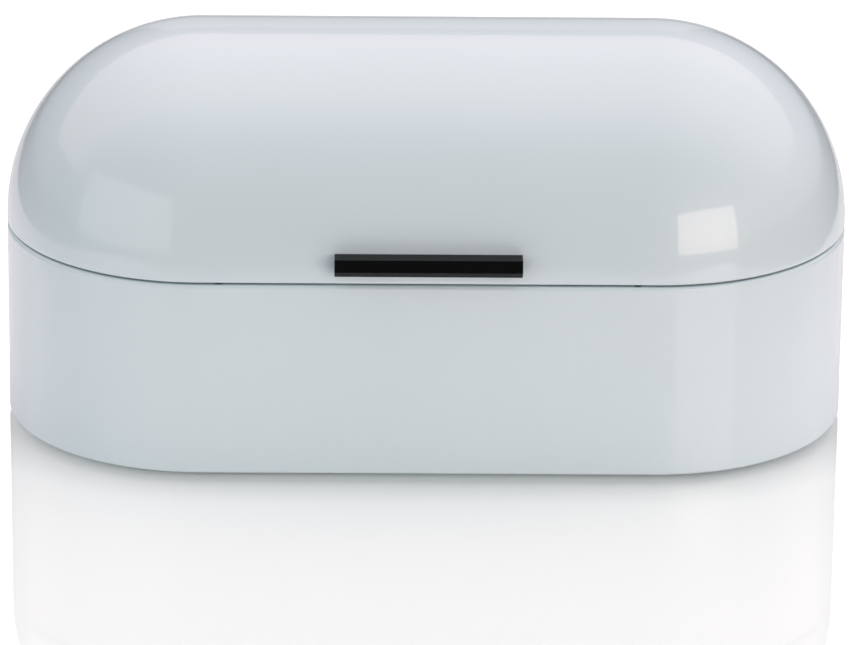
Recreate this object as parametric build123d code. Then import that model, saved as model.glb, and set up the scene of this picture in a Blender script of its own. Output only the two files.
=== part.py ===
from build123d import *
import math
import os

# Bread box of painted sheet steel: a stadium-shaped body on four rubber feet, with a
# half-capsule lid that swings up on two rear hinges and a black pull bar on its front.
# X runs along the box, the front faces -Y and Z is up. The origin is the middle of the
# stadium, on the table top. Sizes are in millimetres.

# Main form
length = 440.0
depth = 205.0
body_top = 106.5        # table to the top of the body's rim
base_lift = 3.0         # table to the bottom edge of the wall
seam_gap = 1.0          # shadow line between the two rims
lid_skirt = 3.0         # upright part of the lid under its dome

# Sheet steel
sheet = 0.8
bend = 1.8              # outer radius of each fold
rim_width = 8.0         # turned-in rim of body and lid
hem_depth = 5.0         # inner edge of each rim, turned out of reach
base_lip = 7.0          # turned-in lip that the floor lies on

# Floor pan
pan_clearance = 0.1     # pan flange to the wall
pan_flange = 7.0        # height of the pan's upturned edge
panel_rise = 2.0        # raised middle of the floor
panel_margin = 40.0     # wall to the raised middle
panel_slope = 3.0       # width of the slope round the raised middle

# Rubber feet, pushed through the floor
foot_from_end = 5.5     # end of the straight side to each foot
foot_from_wall = 24.5
foot_radius = 8.0
foot_slope = 1.0        # bevel round the sole
stem_radius = 2.5
stem_barb = 1.2         # how far the barb stands out from the stem
barb_height = 2.4

# Soft bumpers, pushed through the body's rim at the front
bumper_from_end = 10.5  # end of the straight front to each bumper
bumper_radius = 2.2
bumper_stem = 1.2
bumper_barb = 0.6
bumper_barb_height = 1.4

# Air holes in the back of the body
vent_count = 7
vent_pitch = 11.0
vent_radius = 2.5
vent_drop = 24.0        # rim to the row of holes

# Pull bar and its screws
bar_length = 96.0
bar_height = 10.2
bar_reach = 8.8         # front of the bar to the wall's outer face
bar_drop = 6.6          # seam to the underside of the bar
bar_chamfer = 3.6       # slope under the front face
bar_edge = 0.35         # rounding of every edge
screw_from_end = 18.0   # end of the bar to each screw
screw_radius = 2.0
screw_depth = 6.0       # thread inside the bar
head_radius = 4.0
head_height = 2.4
head_slope = 0.8
recess_length = 4.2
recess_width = 0.9
recess_depth = 1.2
washer_radius = 5.0
washer_thickness = 1.0

# Hinges
hinge_from_end = 41.5   # end of the straight back to the middle of each hinge
hinge_width = 42.0
leaf = 1.2              # thickness of the leaves
leaf_height = 21.0      # pin line to the far edge of a leaf
leaf_corner = 4.0
pin_radius = 1.6
pin_head = 0.9          # how far the pin's heads stand out from it
pin_head_thickness = 1.0
curl_turn = 300.0       # how far the knuckles wrap round the pin, in degrees
knuckle_gap = 0.3       # between neighbouring knuckles
notch_gap = 0.4         # knuckle to the notch of the other leaf
lid_opening = 95.0      # full swing of the lid, in degrees
stop_margin = 0.5       # swing left when the heel meets the wall, in degrees

# Rivets
rivet_from_end = 9.0    # side of a leaf to each rivet
rivet_radius = 1.6
rivet_head = 3.3
rivet_head_height = 1.3
rivet_tail = 2.6
rivet_tail_height = 0.9
rivet_drop = 14.0       # pin line to the rivets

# Fits
slip = 0.05             # round a shank in its hole, and under a curved seat
running = 0.05          # round the hinge pin
overrun = 2.0           # how far a cutter runs past what it cuts

# Places worked out from the sizes above
radius = depth / 2
half_straight = (length - depth) / 2
inside = radius - sheet
foot_x = half_straight - foot_from_end
foot_y = radius - foot_from_wall
bumper_x = half_straight - bumper_from_end
screw_x = bar_length / 2 - screw_from_end
hinge_x = half_straight - hinge_from_end
rivet_x = hinge_width / 2 - rivet_from_end
lid_bottom = body_top + seam_gap
dome_z = lid_bottom + lid_skirt
floor_seat = base_lift + sheet
barrel = pin_radius + running + leaf
pivot_y = radius + barrel
pivot_z = body_top + seam_gap / 2
knuckle = (hinge_width - 2 * knuckle_gap) / 3
heel_reach = barrel * math.tan(math.radians(90 - (lid_opening + stop_margin) / 2))
heel_swing = math.hypot(barrel, heel_reach)
bar_bottom = pivot_z + bar_drop
bar_tilt = math.asin((bar_bottom + bar_height / 2 - dome_z) / radius)
lid_rivet_tilt = (pivot_z + rivet_drop - dome_z) / radius


# Shared operations

def sheet_section(outline):
    """Thicken the line of a bent sheet's face to its left."""
    return make_face(offset(outline, amount=sheet, side=Side.LEFT).edges())


def ring_sector(centre, inner, outer, start, turn):
    """Flat piece of a ring, from an angle through a turn, in degrees."""
    arcs = [CenterArc(centre, size, start, turn) for size in (inner, outer)]
    ends = [Line(arcs[0] @ end, arcs[1] @ end) for end in (0, 1)]
    return make_face((Curve() + arcs + ends).edges())


def round_the_stadium(section):
    """Carry a half section along the straight sides and round both half-round ends."""
    upright = Plane.YZ * section
    back = extrude(Pos(-half_straight, 0, 0) * upright, amount=2 * half_straight, dir=(1, 0, 0))
    right = revolve(Pos(half_straight, 0, 0) * upright, Axis((half_straight, 0, 0), (0, 0, -1)), 180)
    return back + mirror(back, Plane.XZ) + right + mirror(right, Plane.YZ)


def turned(outline):
    """Turn a closed half outline, which has one side on the axis, about Z."""
    return revolve(Plane.XZ * make_face(outline.edges()), Axis.Z)


def outward(x, z, front, tilt=0.0):
    """Plane whose Z axis leaves the box square to its skin; heights on it are radii."""
    side = -1 if front else 1
    return Plane(origin=(x, 0, z), x_dir=(1, 0, 0), z_dir=(0, side * math.cos(tilt), math.sin(tilt)))


def curved_seat(half_width):
    """Radius at which a flat face of this half width rests inside the curved lid."""
    return math.sqrt(inside**2 - half_width**2)


def bore(place, bore_radius, low, high):
    """Round cutter between two heights of a plane."""
    standing = (Align.CENTER, Align.CENTER, Align.MIN)
    return place * Pos(0, 0, low) * Cylinder(bore_radius, high - low, align=standing)


def skin_hole(place, hole_radius):
    """Cutter for a hole through the outer skin."""
    return bore(place, hole_radius, inside - overrun, radius + leaf + overrun)


def both_sides(distance):
    return (-distance, distance)


# Body

def body_wall():
    outline = FilletPolyline(
        (radius - base_lip, base_lift),
        (radius, base_lift),
        (radius, body_top),
        (radius - rim_width, body_top),
        (radius - rim_width, body_top - hem_depth),
        radius=bend,
    )
    wall = round_the_stadium(sheet_section(outline))
    for x in vent_places():
        wall -= skin_hole(outward(x, body_top - vent_drop, False), vent_radius)
    for x in both_sides(bumper_x):
        wall -= bore(bumper_place(x), bumper_stem + slip, -overrun, overrun)
    for middle in both_sides(hinge_x):
        for place in body_rivet_places(middle):
            wall -= skin_hole(place, rivet_radius + slip)
    return wall


def vent_places():
    first = -(vent_count - 1) / 2 * vent_pitch
    return [first + vent_pitch * number for number in range(vent_count)]


def floor_pan():
    edge = inside - pan_clearance
    panel = radius - panel_margin
    outline = FilletPolyline(
        (0, floor_seat + panel_rise),
        (panel, floor_seat + panel_rise),
        (panel + panel_slope, floor_seat),
        (edge, floor_seat),
        (edge, floor_seat + pan_flange),
        radius=bend,
    )
    pan = round_the_stadium(sheet_section(outline))
    for x in both_sides(foot_x):
        for y in both_sides(foot_y):
            pan -= bore(Pos(x, y, 0), stem_radius + slip, 0, floor_seat + overrun)
    return pan


def foot(x, y):
    top = floor_seat + sheet
    outline = Polyline(
        (0, 0),
        (foot_radius - foot_slope, 0),
        (foot_radius, foot_slope),
        (foot_radius, floor_seat),
        (stem_radius, floor_seat),
        (stem_radius, top),
        (stem_radius + stem_barb, top),
        (stem_radius, top + barb_height),
        (0, top + barb_height),
        close=True,
    )
    return Pos(x, y, 0) * turned(outline)


def bumper_place(x):
    return Plane(origin=(x, -(radius - rim_width / 2), body_top), z_dir=(0, 0, 1))


def bumper(x):
    under = -sheet
    outline = Polyline(
        (0, seam_gap),
        (bumper_radius, seam_gap),
        (bumper_radius, 0),
        (bumper_stem, 0),
        (bumper_stem, under),
        (bumper_stem + bumper_barb, under),
        (bumper_stem, under - bumper_barb_height),
        (0, under - bumper_barb_height),
        close=True,
    )
    return bumper_place(x) * turned(outline)


# Lid

def lid_shell():
    rim = FilletPolyline(
        (radius - rim_width, lid_bottom + hem_depth),
        (radius - rim_width, lid_bottom),
        (radius, lid_bottom),
        (radius, dome_z),
        radius=bend,
    )
    dome = CenterArc((0, dome_z), radius, 0, 90)
    lid = round_the_stadium(sheet_section((Curve() + [rim, dome]).wire()))
    for x in both_sides(screw_x):
        lid -= skin_hole(bar_place(x), screw_radius + slip)
    for middle in both_sides(hinge_x):
        for place in lid_rivet_places(middle):
            lid -= skin_hole(place, rivet_radius + slip)
    return lid


def bar_place(x):
    return outward(x, dome_z, True, bar_tilt)


def handle_bar():
    front = -(radius + bar_reach)
    section = Polyline(
        (0, bar_bottom + bar_height),
        (front, bar_bottom + bar_height),
        (front, bar_bottom + bar_chamfer),
        (front + bar_chamfer, bar_bottom),
        (0, bar_bottom),
        close=True,
    )
    block = extrude(Plane.YZ * make_face(section), amount=bar_length / 2, both=True)
    bar = fillet(block.edges(), bar_edge)
    bar -= Pos(0, 0, dome_z) * Rot(0, 90, 0) * Cylinder(radius + slip, 2 * bar_length)
    for x in both_sides(screw_x):
        bar -= bore(bar_place(x), screw_radius + slip, inside, radius + screw_depth + slip)
    return bar


def handle_washer(x):
    seat = curved_seat(washer_radius)
    ring = bore(bar_place(x), washer_radius, seat - washer_thickness, seat)
    return ring - bore(bar_place(x), screw_radius + slip, seat - 2 * washer_thickness, radius)


def handle_screw(x):
    seat = curved_seat(washer_radius) - washer_thickness
    outline = Polyline(
        (0, radius + screw_depth),
        (screw_radius, radius + screw_depth),
        (screw_radius, seat),
        (head_radius, seat),
        (head_radius, seat - head_height + head_slope),
        (head_radius - head_slope, seat - head_height),
        (0, seat - head_height),
        close=True,
    )
    screw = turned(outline)
    for turn in (0, 90):
        slot = Box(recess_length, recess_width, recess_depth)
        screw -= Pos(0, 0, seat - head_height + recess_depth / 2) * Rot(0, 0, turn) * slot
    return bar_place(x) * screw


# Hinges

def body_leaf(middle):
    plate = leaf_plate(upright_strip(pivot_z - leaf_height, pivot_z) + curl(-curl_turn))
    notch_floor = pivot_z - heel_swing - notch_gap
    plate -= notch(0, knuckle + 2 * knuckle_gap, notch_floor, pivot_z + 2 * barrel)
    plate = Pos(middle, 0, 0) * round_corners(plate, Axis.Z)
    for place in body_rivet_places(middle):
        plate -= skin_hole(place, rivet_radius + slip)
    return plate


def lid_leaf(middle):
    tip = math.degrees((pivot_z + leaf_height - dome_z) / radius)
    on_dome = ring_sector((0, dome_z), radius, radius + leaf, 0, tip)
    plate = leaf_plate(on_dome + upright_strip(pivot_z, dome_z) + curl(curl_turn))
    notch_roof = pivot_z + barrel + notch_gap
    for x in both_sides(knuckle + knuckle_gap):
        plate -= notch(x, knuckle + knuckle_gap, pivot_z - 2 * barrel, notch_roof)
    plate += heel()
    plate = Pos(middle, 0, 0) * round_corners(plate, -Axis.Z)
    for place in lid_rivet_places(middle):
        plate -= skin_hole(place, rivet_radius + slip)
    return plate


def upright_strip(low, high):
    """Section of a leaf where it lies on an upright face."""
    return Pos(radius, low) * Rectangle(leaf, high - low, align=Align.MIN)


def curl(turn):
    """Section of a knuckle, from the skin round the pin."""
    return ring_sector((pivot_y, pivot_z), barrel - leaf, barrel, 180, turn)


def leaf_plate(section):
    return extrude(Plane.YZ * section, amount=hinge_width / 2, both=True)


def notch(x, width, low, high):
    """Cutter that makes room for the other leaf's knuckle."""
    block = Box(width, 4 * barrel, high - low, align=(Align.CENTER, Align.CENTER, Align.MIN))
    return Pos(x, pivot_y, low) * block


def heel():
    """Square heel on the lid's knuckle, which meets the wall when the lid is fully open."""
    block = Box(knuckle, barrel, heel_reach, align=(Align.CENTER, Align.MIN, Align.MAX))
    return Pos(0, pivot_y, pivot_z) * (block - pin_bore())


def pin_bore():
    return Rot(0, 90, 0) * Cylinder(pin_radius + running, hinge_width)


def round_corners(plate, towards):
    """Round the two corners of a leaf at its far edge."""
    through = plate.edges().filter_by(Axis.Y, tolerance=15).group_by(towards)[0]
    return fillet(through, leaf_corner)


def hinge_pin(middle):
    end = hinge_width / 2
    outline = Polyline(
        (0, end + pin_head_thickness),
        (pin_radius + pin_head, end + pin_head_thickness),
        (pin_radius + pin_head, end),
        (pin_radius, end),
        (pin_radius, -end),
        (pin_radius + pin_head, -end),
        (pin_radius + pin_head, -end - pin_head_thickness),
        (0, -end - pin_head_thickness),
        close=True,
    )
    return Pos(middle, pivot_y, pivot_z) * Rot(0, 90, 0) * turned(outline)


def rivet(place, tail_seat):
    """Domed head on the leaf, shank through leaf and sheet, flat tail inside."""
    seat = radius + leaf
    dome = ThreePointArc((0, seat + rivet_head_height), *dome_points(seat))
    rest = Polyline(
        (rivet_head, seat),
        (rivet_radius, seat),
        (rivet_radius, tail_seat),
        (rivet_tail, tail_seat),
        (rivet_tail, tail_seat - rivet_tail_height),
        (0, tail_seat - rivet_tail_height),
        (0, seat + rivet_head_height),
    )
    return place * turned(Curve() + [dome, rest])


def dome_points(seat):
    """Middle and end of the arc over a rivet's head."""
    ball = (rivet_head**2 + rivet_head_height**2) / (2 * rivet_head_height)
    half = math.asin(rivet_head / ball) / 2
    middle = (ball * math.sin(half), seat + rivet_head_height - ball * (1 - math.cos(half)))
    return middle, (rivet_head, seat)


def body_rivet_places(middle):
    return [outward(middle + x, pivot_z - rivet_drop, False) for x in both_sides(rivet_x)]


def lid_rivet_places(middle):
    return [outward(middle + x, dome_z, False, lid_rivet_tilt) for x in both_sides(rivet_x)]


def body_rivets(middle):
    return Compound([rivet(place, inside) for place in body_rivet_places(middle)])


def lid_rivets(middle):
    return Compound([rivet(place, curved_seat(rivet_tail)) for place in lid_rivet_places(middle)])


# Assembly

parts = {
    "body_wall": body_wall(),
    "floor_pan": floor_pan(),
    "foot_front_left": foot(-foot_x, -foot_y),
    "foot_front_right": foot(foot_x, -foot_y),
    "foot_rear_left": foot(-foot_x, foot_y),
    "foot_rear_right": foot(foot_x, foot_y),
    "front_bumpers": Compound([bumper(x) for x in both_sides(bumper_x)]),
    "lid_shell": lid_shell(),
    "handle_bar": handle_bar(),
    "handle_washers": Compound([handle_washer(x) for x in both_sides(screw_x)]),
    "handle_screws": Compound([handle_screw(x) for x in both_sides(screw_x)]),
}
for side, middle in (("left", -hinge_x), ("right", hinge_x)):
    parts[f"hinge_{side}_body_leaf"] = body_leaf(middle)
    parts[f"hinge_{side}_lid_leaf"] = lid_leaf(middle)
    parts[f"hinge_{side}_pin"] = hinge_pin(middle)
    parts[f"hinge_{side}_body_rivets"] = body_rivets(middle)
    parts[f"hinge_{side}_lid_rivets"] = lid_rivets(middle)

os.makedirs("parts", exist_ok=True)
for name, shape in parts.items():
    export_step(shape, f"parts/{name}.step")
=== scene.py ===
import math
import bpy
from mathutils import Matrix, Vector

# A bread box of powder-coated sheet steel with a black pull bar, on a white studio table.
# Places are in metres in the frame's own axes: X along the box, the front faces -Y, Z up.
# Lights are given as radiance, where 1.0 shows as full white.

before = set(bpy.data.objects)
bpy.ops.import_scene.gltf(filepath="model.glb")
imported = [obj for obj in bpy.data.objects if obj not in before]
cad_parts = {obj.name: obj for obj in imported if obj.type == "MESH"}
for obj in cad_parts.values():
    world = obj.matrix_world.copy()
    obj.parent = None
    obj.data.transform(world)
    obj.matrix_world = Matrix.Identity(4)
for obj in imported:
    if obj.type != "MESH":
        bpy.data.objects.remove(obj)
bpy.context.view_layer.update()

MM = 0.001

# Camera
lens_mm = 260.0
sensor_mm = 36.0
view_yaw = 0.806            # degrees to the right of straight ahead
view_pitch = 20.90          # degrees down
view_roll = 0.616           # degrees clockwise
view_distance = 3.2712
view_reach = 100.0          # how far the camera sees
aim = Vector((0.00146, 0.0, 0.04791))

# Table: a polished white sheet, with dark cloth round it and a floor just below both
sheet_left, sheet_right = -0.64, 0.50
sheet_front, sheet_back = -0.50, 2.0
sheet_gloss = 0.42          # weight of the polished coat that mirrors the box
painted_sheet_lift = 0.17           # painted light: what the camera sees the sheet brightened by, away from the box
lift_fade = 35 * MM         # this near to the box the lift fades out, leaving a painted contact shadow
lift_floor = 0.55           # share of open sky at which nothing is left of the lift
painted_glow_under_box = 0.28           # painted light: emission that lightens the shade under the box
painted_glow_fade = 4 * MM          # this far from the box the glow fades out
openness_samples = 8
floor_size = 30.0
floor_drop = 2 * MM

# White backdrops, which only the table mirrors
backdrop_reach = 2.1        # from the middle of the box to each of them
backdrop_height = 2.2
backdrop_light = 1.6
mirrored_depth = 2.5        # mirror images stay under this depth, where a diffuse bounce counts twice

# Dim room round the table
room_light = 0.10
room_left_light = 0.18      # added towards the left wall
room_right_light = 0.55     # added towards the right wall
room_back_light = 0.20      # added towards the wall behind
room_top_light = 0.58       # added towards the ceiling
ceiling_power = 2.0         # a higher one keeps the light nearer to straight above
wall_foot = -0.15           # upward part of a ray's direction where the walls begin to shine
wall_full = 0.12            # and from where up they shine in full

# Lamps
overhead_height = 1.5
overhead_left, overhead_right = -4.3, 4.3
overhead_strips = (         # front edge, back edge, radiance and colour
    (-0.20, 2.0, 0.60, "#FFE0E0"),
    (-0.55, -0.20, 0.34, "#FFF0F0"),
    (-0.95, -0.55, 0.17, "#FFF0F0"),
)
upright_panels = {          # its two ends, height, radiance and colour
    "back_panel": (((-0.50, 2.2), (0.50, 2.2)), 1.15, 0.20, "#FFFFFF"),
    "right_panel": (((0.460, -1.457), (1.225, -0.996)), 0.60, 2.62, "#FFE8DE"),
    "left_panel": (((-1.534, -0.415), (-0.535, -1.437)), 0.78, 0.66, "#FFFFFF"),
}


# Shared operations

def linear(hex_colour):
    """Turn an sRGB hex colour into linear RGBA."""
    parts = [int(hex_colour[i:i + 2], 16) / 255 for i in (1, 3, 5)]
    return tuple(c / 12.92 if c <= 0.04045 else ((c + 0.055) / 1.055) ** 2.4 for c in parts) + (1.0,)


def add(tree, kind, inputs=(), **settings):
    """Add a node with its settings. Each input takes a value, or the socket that it is linked to."""
    node = tree.nodes.new(kind)
    for name, value in settings.items():
        setattr(node, name, value)
    for name, value in dict(inputs).items():
        if isinstance(value, bpy.types.NodeSocket):
            tree.links.new(value, node.inputs[name])
        else:
            node.inputs[name].default_value = value
    return node


def new_material(name):
    """Empty material, its node tree, and the object coordinates that its patterns follow."""
    material = bpy.data.materials.new(name)
    material.use_nodes = True
    tree = material.node_tree
    tree.nodes.clear()
    place = add(tree, "ShaderNodeTexCoord").outputs["Object"]
    return material, tree, place


def finish_material(tree, shader):
    """Link the finished shader to the material's output."""
    add(tree, "ShaderNodeOutputMaterial", {"Surface": shader.outputs[0]})


def per_metre(size_mm):
    """Noise scale for features of this size."""
    return 1 / (size_mm * MM)


# Materials of the box

def powder_coat():
    """Polyester powder coat, sprayed on steel and baked.

    It gives the eye a milky pale blue-grey under a wet gloss. The gloss mirrors the lamps with
    edges that waver a little, from the orange peel that the powder leaves as it flows out.
    The pigment's grain is drawn far coarser than it is, so that it shows.
    """
    drift_mm, peel_mm, grain_mm = 70, 4, 1.2
    material, tree, place = new_material("powder_coat")
    cloud = add(tree, "ShaderNodeTexNoise",
                {"Vector": place, "Scale": per_metre(drift_mm), "Detail": 3.0, "Roughness": 0.5})
    colour = add(tree, "ShaderNodeMix", {
        "Factor": cloud.outputs["Fac"],
        "A": linear("#D9E8EC"),
        "B": linear("#DDEBEF"),
    }, data_type="RGBA")
    peel = add(tree, "ShaderNodeTexNoise",
               {"Vector": place, "Scale": per_metre(peel_mm), "Detail": 1.0, "Roughness": 0.4})
    peel_bump = add(tree, "ShaderNodeBump",
                    {"Height": peel.outputs["Fac"], "Strength": 1.0, "Distance": 0.022 * MM})
    grain = add(tree, "ShaderNodeTexNoise",
                {"Vector": place, "Scale": per_metre(grain_mm), "Detail": 2.0, "Roughness": 0.5})
    roughness = add(tree, "ShaderNodeMapRange", {
        "Value": grain.outputs["Fac"],
        "To Min": 0.30,
        "To Max": 0.40,
    })
    shader = add(tree, "ShaderNodeBsdfPrincipled", {
        "Base Color": colour.outputs[2],
        "Roughness": roughness.outputs[0],
        "IOR": 1.5,
        "Coat Weight": 1.0,
        "Coat IOR": 1.5,
        "Coat Roughness": 0.04,
        "Coat Normal": peel_bump.outputs[0],
        "Normal": peel_bump.outputs[0],
    })
    finish_material(tree, shader)
    return material


def satin_abs():
    """Black ABS, moulded against a spark-eroded tool: near black with a soft sheen on its edges.

    The tool's grain is under 0.1 mm, and is drawn at 0.8 mm so that it shows. The IOR is set
    below the 1.54 of ABS, which keeps the bar as black as it looks under such wide lamps.
    """
    grain_mm, patch_mm = 0.8, 18
    material, tree, place = new_material("satin_abs")
    grain = add(tree, "ShaderNodeTexNoise",
                {"Vector": place, "Scale": per_metre(grain_mm), "Detail": 3.0, "Roughness": 0.6})
    grain_bump = add(tree, "ShaderNodeBump",
                     {"Height": grain.outputs["Fac"], "Strength": 1.0, "Distance": 0.05 * MM})
    patch = add(tree, "ShaderNodeTexNoise",
                {"Vector": place, "Scale": per_metre(patch_mm), "Detail": 2.0, "Roughness": 0.5})
    roughness = add(tree, "ShaderNodeMapRange", {
        "Value": patch.outputs["Fac"],
        "To Min": 0.14,
        "To Max": 0.28,
    })
    colour = add(tree, "ShaderNodeMix", {
        "Factor": patch.outputs["Fac"],
        "A": linear("#020203"),
        "B": linear("#040405"),
    }, data_type="RGBA")
    shader = add(tree, "ShaderNodeBsdfPrincipled", {
        "Base Color": colour.outputs[2],
        "Roughness": roughness.outputs[0],
        "IOR": 1.17,
        "Normal": grain_bump.outputs[0],
    })
    finish_material(tree, shader)
    return material


def moulded_rubber(name, dark, light, roughness):
    """Moulded rubber: matt, slightly mottled, with a bloom that lifts its tone."""
    mottle_mm = 2.5
    material, tree, place = new_material(name)
    mottle = add(tree, "ShaderNodeTexNoise",
                 {"Vector": place, "Scale": per_metre(mottle_mm), "Detail": 4.0, "Roughness": 0.6})
    colour = add(tree, "ShaderNodeMix", {
        "Factor": mottle.outputs["Fac"],
        "A": linear(dark),
        "B": linear(light),
    }, data_type="RGBA")
    bump = add(tree, "ShaderNodeBump",
               {"Height": mottle.outputs["Fac"], "Strength": 1.0, "Distance": 0.02 * MM})
    shader = add(tree, "ShaderNodeBsdfPrincipled", {
        "Base Color": colour.outputs[2],
        "Roughness": roughness,
        "IOR": 1.52,
        "Normal": bump.outputs[0],
    })
    finish_material(tree, shader)
    return material


def plated_metal(name, tone, worn_tone, smooth, rough, line_mm):
    """Plated or bare metal: a soft mirror with the fine rolling lines of the strip under it.

    The lines are a few hundredths of a millimetre apart on real strip, and are drawn about ten
    times as coarse so that they show. They run along the box.
    """
    cloud_mm = 6
    line_width_per_length = 0.04
    material, tree, place = new_material(name)
    stretch = add(tree, "ShaderNodeMapping",
                  {"Vector": place, "Scale": (line_width_per_length, 1.0, 1.0)})
    lines = add(tree, "ShaderNodeTexNoise", {
        "Vector": stretch.outputs[0],
        "Scale": per_metre(line_mm),
        "Detail": 3.0,
        "Roughness": 0.6,
    })
    cloud = add(tree, "ShaderNodeTexNoise",
                {"Vector": place, "Scale": per_metre(cloud_mm), "Detail": 3.0, "Roughness": 0.6})
    colour = add(tree, "ShaderNodeMix", {
        "Factor": cloud.outputs["Fac"],
        "A": linear(tone),
        "B": linear(worn_tone),
    }, data_type="RGBA")
    roughness = add(tree, "ShaderNodeMapRange", {
        "Value": lines.outputs["Fac"],
        "To Min": smooth,
        "To Max": rough,
    })
    bump = add(tree, "ShaderNodeBump",
               {"Height": lines.outputs["Fac"], "Strength": 1.0, "Distance": 0.003 * MM})
    shader = add(tree, "ShaderNodeBsdfPrincipled", {
        "Base Color": colour.outputs[2],
        "Metallic": 1.0,
        "Roughness": roughness.outputs[0],
        "Normal": bump.outputs[0],
    })
    finish_material(tree, shader)
    return material


def dress(material, *names):
    """Give CAD nodes their finish."""
    for name in names:
        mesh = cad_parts[name].data
        mesh.materials.clear()
        mesh.materials.append(material)


def dress_the_box():
    """Every node of the box keeps its shape and gets the finish of the real piece."""
    dress(powder_coat(), "body_wall", "floor_pan", "lid_shell")
    dress(satin_abs(), "handle_bar")
    feet = [f"foot_{end}_{side}" for end in ("front", "rear") for side in ("left", "right")]
    dress(moulded_rubber("moulded_rubber", "#17181A", "#222326", roughness=0.75), *feet)
    dress(moulded_rubber("soft_silicone", "#1E2022", "#2A2C2F", roughness=0.5), "front_bumpers")
    nickel = plated_metal("nickel_plated_steel", "#C9C4BB", "#BDB8AF",
                          smooth=0.14, rough=0.24, line_mm=0.25)
    aluminium = plated_metal("plain_aluminium", "#C9CACC", "#BFC0C3",
                             smooth=0.24, rough=0.36, line_mm=0.4)
    zinc = plated_metal("zinc_plated_steel", "#BFC3C8", "#B4B9C0",
                        smooth=0.22, rough=0.32, line_mm=0.3)
    for side in ("left", "right"):
        dress(nickel, *(f"hinge_{side}_{piece}" for piece in ("body_leaf", "lid_leaf", "pin")))
        dress(aluminium, *(f"hinge_{side}_{piece}" for piece in ("body_rivets", "lid_rivets")))
    dress(zinc, "handle_screws", "handle_washers")


# Table

def acrylic_shader(tree, place):
    """Cast acrylic, white and polished, with a faint mirror image in its gloss.

    Two looks round each point tell how open the sheet is there. Away from the box the camera sees the
    sheet lifted towards white by painted light, and as the lift fades out near the box it leaves a
    painted contact shadow. Right under the box the sheet glows with painted light, an emission that
    lightens the shade there. Its tone is darker to the camera than in the light that it throws on the
    box.
    """
    haze_mm = 300
    haze = add(tree, "ShaderNodeTexNoise",
               {"Vector": place, "Scale": per_metre(haze_mm), "Detail": 2.0, "Roughness": 0.5})
    roughness = add(tree, "ShaderNodeMapRange", {
        "Value": haze.outputs["Fac"],
        "To Min": 0.015,
        "To Max": 0.03,
    })
    seen = add(tree, "ShaderNodeLightPath").outputs["Is Camera Ray"]
    # Painted light for the camera: the sheet is lifted towards white, fading out near the box into a
    # painted contact shadow
    open_wide = add(tree, "ShaderNodeAmbientOcclusion", {"Distance": lift_fade},
                    samples=openness_samples)
    lift = add(tree, "ShaderNodeMapRange",
               {"Value": open_wide.outputs["AO"], "From Min": lift_floor, "To Max": painted_sheet_lift})
    lift = add(tree, "ShaderNodeMath", {0: seen, 1: lift.outputs[0]}, operation="MULTIPLY")
    # Painted light: emission under the box that lightens its shade, fading out a few millimetres from
    # it
    open_near = add(tree, "ShaderNodeAmbientOcclusion", {"Distance": painted_glow_fade},
                    samples=openness_samples)
    painted_glow = add(tree, "ShaderNodeMapRange",
               {"Value": open_near.outputs["AO"], "To Min": painted_glow_under_box, "To Max": 0.0})
    strength = add(tree, "ShaderNodeMath", {0: lift.outputs[0], 1: painted_glow.outputs[0]})
    tone = add(tree, "ShaderNodeMix",
               {"Factor": seen, "A": linear("#FFFFFF"), "B": linear("#E9ECEA")}, data_type="RGBA")
    return add(tree, "ShaderNodeBsdfPrincipled", {
        "Base Color": tone.outputs[2],
        "Roughness": roughness.outputs[0],
        "IOR": 1.6,
        "Coat Weight": sheet_gloss,
        "Coat IOR": 1.6,
        "Coat Roughness": 0.02,
        "Emission Color": linear("#FFFFFF"),
        "Emission Strength": strength.outputs[0],
    })


def plain_white(tree, place):
    """White that needs no light. It has no pattern, so its place makes no difference."""
    return add(tree, "ShaderNodeEmission", {"Color": linear("#FFFFFF"), "Strength": 1.0})


def white_acrylic():
    """The sheet that the box stands on."""
    material, tree, place = new_material("white_acrylic")
    finish_material(tree, acrylic_shader(tree, place))
    return material


def dark_cloth(name, seen_as):
    """Dark woven cloth, which throws little light up at the box.

    The camera sees something white in its place, so the weave is only drawn as wide patches.
    """
    patch_mm = 40
    material, tree, place = new_material(name)
    weave = add(tree, "ShaderNodeTexNoise",
                {"Vector": place, "Scale": per_metre(patch_mm), "Detail": 2.0, "Roughness": 0.6})
    colour = add(tree, "ShaderNodeMix", {
        "Factor": weave.outputs["Fac"],
        "A": linear("#3C3E42"),
        "B": linear("#44464A"),
    }, data_type="RGBA")
    cloth = add(tree, "ShaderNodeBsdfPrincipled", {
        "Base Color": colour.outputs[2],
        "Roughness": 0.9,
    })
    seen = add(tree, "ShaderNodeLightPath").outputs["Is Camera Ray"]
    shader = add(tree, "ShaderNodeMixShader",
                 {0: seen, 1: cloth.outputs[0], 2: seen_as(tree, place).outputs[0]})
    finish_material(tree, shader)
    return material


def lay_flat(name, left, right, front, back, height, material):
    """Level rectangle of the studio, which isn't part of the box."""
    corners = [(left, front, height), (right, front, height), (right, back, height),
               (left, back, height)]
    mesh = bpy.data.meshes.new(name)
    mesh.from_pydata(corners, [], [(0, 1, 2, 3)])
    mesh.materials.append(material)
    sheet = bpy.data.objects.new(name, mesh)
    bpy.context.scene.collection.objects.link(sheet)
    return sheet


def lay_the_table():
    """White sheet under the box, with cloth round it that the camera sees as more of the sheet."""
    half, reach = floor_size / 2, backdrop_reach
    lay_flat("studio_floor", -half, half, -half, half, -floor_drop,
             dark_cloth("far_cloth", plain_white))
    table = [lay_flat("table_sheet", sheet_left, sheet_right, sheet_front, sheet_back, 0.0,
                      white_acrylic())]
    cloth = dark_cloth("table_cloth", acrylic_shader)
    cloth_edges = {
        "left": (-reach, sheet_left, -reach, reach),
        "right": (sheet_right, reach, -reach, reach),
        "front": (sheet_left, sheet_right, -reach, sheet_front),
        "back": (sheet_left, sheet_right, sheet_back, reach),
    }
    for side, edges in cloth_edges.items():
        table.append(lay_flat(f"table_cloth_{side}", *edges, 0.0, cloth))
    return table


# Light

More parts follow.
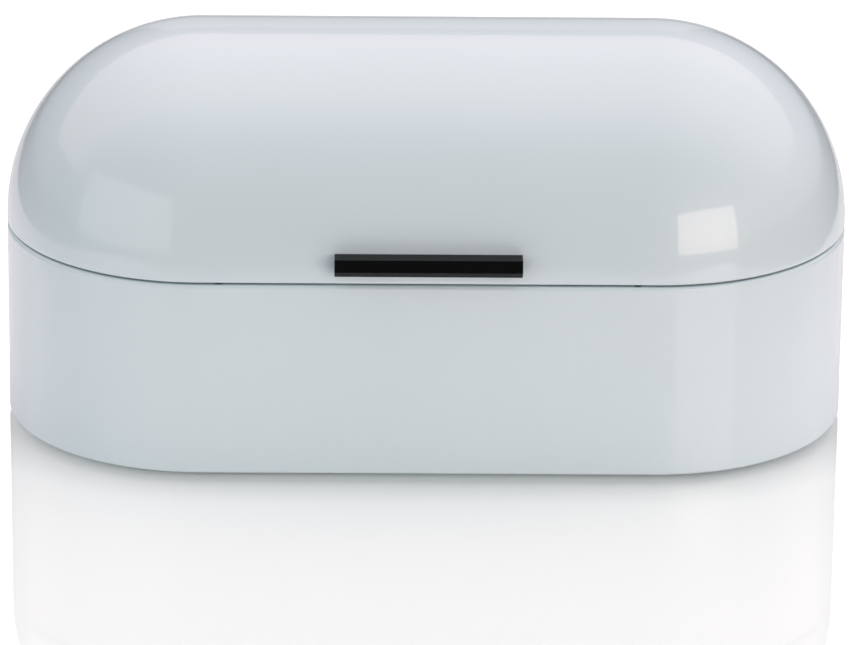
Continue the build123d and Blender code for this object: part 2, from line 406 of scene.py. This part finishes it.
def fill_the_room():
    """Dim room with lighter walls and ceiling. The camera itself sees it as plain white."""
    world = bpy.data.worlds.new("room")
    world.use_nodes = True
    tree = world.node_tree
    tree.nodes.clear()
    way = add(tree, "ShaderNodeTexCoord").outputs["Generated"]
    x, y, z = add(tree, "ShaderNodeSeparateXYZ", {0: way}).outputs
    above = add(tree, "ShaderNodeMapRange",
                {"Value": z, "From Min": wall_foot, "From Max": wall_full},
                interpolation_type="SMOOTHSTEP")
    walls = 0.0
    for towards, light in ((x, room_right_light), (x, -room_left_light), (y, room_back_light)):
        wall = add(tree, "ShaderNodeMath", {0: towards, 1: light}, operation="MULTIPLY",
                   use_clamp=True)
        walls = add(tree, "ShaderNodeMath", {0: walls, 1: wall.outputs[0]}).outputs[0]
    walls = add(tree, "ShaderNodeMath", {0: walls, 1: above.outputs[0]}, operation="MULTIPLY")
    ceiling = add(tree, "ShaderNodeMath", {0: z, 1: ceiling_power}, operation="POWER")
    ceiling = add(tree, "ShaderNodeMath", {0: ceiling.outputs[0], 1: room_top_light},
                  operation="MULTIPLY")
    strength = add(tree, "ShaderNodeMath", {0: walls.outputs[0], 1: ceiling.outputs[0]})
    strength = add(tree, "ShaderNodeMath", {0: strength.outputs[0], 1: room_light})
    grey = add(tree, "ShaderNodeBackground",
               {"Color": linear("#F4FAFF"), "Strength": strength.outputs[0]})
    white = add(tree, "ShaderNodeBackground", {"Color": linear("#FFFFFF"), "Strength": 1.0})
    seen = add(tree, "ShaderNodeLightPath").outputs["Is Camera Ray"]
    mix = add(tree, "ShaderNodeMixShader", {0: seen, 1: grey.outputs[0], 2: white.outputs[0]})
    add(tree, "ShaderNodeOutputWorld", {"Surface": mix.outputs[0]})
    bpy.context.scene.world = world


def soft_panel(name, width, height, radiance, hex_colour, matrix):
    """Rectangular lamp that shines along its own -Z. The camera sees it only in reflections."""
    watts_per_radiance = 4 * width * height
    lamp = bpy.data.lights.new(name, "AREA")
    lamp.shape = "RECTANGLE"
    lamp.size, lamp.size_y = width, height
    lamp.color = linear(hex_colour)[:3]
    lamp.energy = watts_per_radiance * radiance
    panel = bpy.data.objects.new(name, lamp)
    panel.matrix_world = matrix
    panel.visible_camera = False
    bpy.context.scene.collection.objects.link(panel)
    return panel


def stand_panel(name, ends, height, radiance, hex_colour):
    """Upright panel that stands on the table's level and faces the box."""
    start, end = (Vector((x, y, height / 2)) for x, y in ends)
    along = end - start
    across = Vector((0, 0, 1))
    outward = along.normalized().cross(across)
    if outward.dot(start) < 0:
        outward.negate()
    side = across.cross(outward)
    turn = Matrix((side, across, outward)).transposed().to_4x4()
    return soft_panel(name, along.length, height, radiance, hex_colour,
                      Matrix.Translation((start + end) / 2) @ turn)


def hang_overhead_strips():
    """The front strips are dimmer, so the highlight fades out down the front of the lid."""
    for number, (front, back, radiance, hex_colour) in enumerate(overhead_strips, 1):
        middle = Vector(((overhead_left + overhead_right) / 2, (front + back) / 2,
                         overhead_height))
        soft_panel(f"overhead_strip_{number}", overhead_right - overhead_left, back - front,
                   radiance, hex_colour, Matrix.Translation(middle))


def light_the_studio():
    """The two panels in front are the window shapes that the lid mirrors."""
    fill_the_room()
    hang_overhead_strips()
    for name, (ends, height, radiance, hex_colour) in upright_panels.items():
        stand_panel(name, ends, height, radiance, hex_colour)


def show_only_in(receivers, backdrop):
    """Let a backdrop show only as a mirror image in the receivers, and light nothing."""
    backdrop.visible_diffuse = False
    backdrop.light_linking.receiver_collection = receivers
    backdrop.data.use_nodes = True
    tree = backdrop.data.node_tree
    tree.nodes.clear()
    path = add(tree, "ShaderNodeLightPath").outputs
    bounces = add(tree, "ShaderNodeMath", {0: path["Ray Depth"], 1: path["Diffuse Depth"]})
    direct = add(tree, "ShaderNodeMath", {0: bounces.outputs[0], 1: mirrored_depth},
                 operation="LESS_THAN")
    white = add(tree, "ShaderNodeEmission", {"Strength": direct.outputs[0]})
    add(tree, "ShaderNodeOutputLight", {"Surface": white.outputs[0]})


def surround(table):
    """White backdrops on four sides and above, so that the table looks white from any side."""
    mirrored_in = bpy.data.collections.new("backdrops_mirrored_in")
    for sheet in table:
        mirrored_in.objects.link(sheet)
    reach = backdrop_reach
    corners = [(-reach, -reach), (reach, -reach), (reach, reach), (-reach, reach)]
    for i, side in enumerate(("left", "front", "right", "back")):
        backdrop = stand_panel(f"backdrop_{side}", (corners[i - 1], corners[i]), backdrop_height,
                               backdrop_light, "#FFFFFF")
        show_only_in(mirrored_in, backdrop)
    above = soft_panel("backdrop_above", 2 * reach, 2 * reach, backdrop_light, "#FFFFFF",
                       Matrix.Translation((0, 0, backdrop_height)))
    show_only_in(mirrored_in, above)


# Camera

def set_camera():
    """Long lens at the photograph's viewing angle."""
    yaw, pitch, roll = (math.radians(a) for a in (view_yaw, view_pitch, view_roll))
    ahead = Vector((math.sin(yaw) * math.cos(pitch), math.cos(yaw) * math.cos(pitch),
                    -math.sin(pitch)))
    level = Vector((math.cos(yaw), -math.sin(yaw), 0))
    upright = level.cross(ahead)
    right = math.cos(roll) * level + math.sin(roll) * upright
    up = right.cross(ahead)
    camera = bpy.data.cameras.new("camera")
    camera.lens = lens_mm
    camera.sensor_width = sensor_mm
    camera.clip_end = view_reach
    holder = bpy.data.objects.new("camera", camera)
    turn = Matrix((right, up, -ahead)).transposed().to_4x4()
    holder.matrix_world = Matrix.Translation(aim - view_distance * ahead) @ turn
    bpy.context.scene.collection.objects.link(holder)
    bpy.context.scene.camera = holder


set_camera()
surround(lay_the_table())
light_the_studio()
dress_the_box()
bpy.context.scene.view_settings.view_transform = "Standard"
